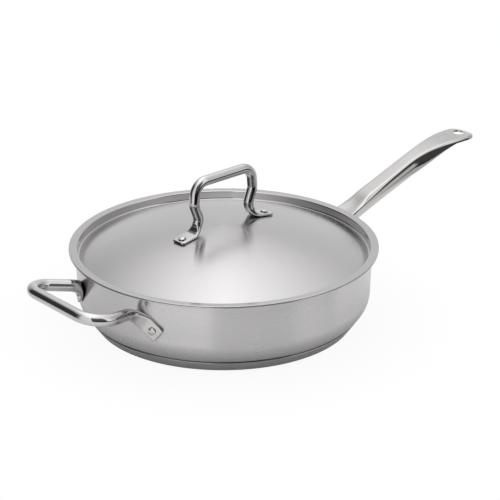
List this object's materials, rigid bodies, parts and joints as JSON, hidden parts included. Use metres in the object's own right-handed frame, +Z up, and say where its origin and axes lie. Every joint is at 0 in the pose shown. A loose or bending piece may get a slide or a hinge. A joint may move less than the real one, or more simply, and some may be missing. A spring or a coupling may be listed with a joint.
{
  "type": "saute pan with lid",
  "caption": "Wide low saute pan with a domed drop-in lid, a long hollow stick handle with a hang hole, a helper loop opposite it and a bent-rod lid handle.",
  "frame": {"origin": "middle of the flat underside of the base, on the pan's axis", "axes": "+Z up along the pan's axis, +X out along the stick handle, +Y to the left of the stick handle seen from the pan"},
  "size_m": [0.5274, 0.2974, 0.1514],
  "materials": {
    "brushed_sheet": "fine spun satin stainless steel",
    "polished_handle": "mirror polished stainless steel",
    "rivet": "bright stainless steel",
    "base_core": "bare metal, out of sight"
  },
  "bodies": {
    "pan": {"pan_shell": "brushed_sheet", "base_core": "base_core", "base_cap": "brushed_sheet", "stick_handle": "polished_handle", "stick_rivet_left": "rivet", "stick_rivet_right": "rivet", "helper_handle": "polished_handle", "helper_rivet_left": "rivet", "helper_rivet_right": "rivet"},
    "lid": {"lid_shell": "brushed_sheet", "lid_handle": "polished_handle", "lid_rivet_left": "rivet", "lid_rivet_right": "rivet"}
  },
  "joints": [
    {"name": "lid_lift", "type": "slide", "parent": "pan", "child": "lid", "axis": [0, 0, 1], "range_m": [0, 0.12]}
  ]
}
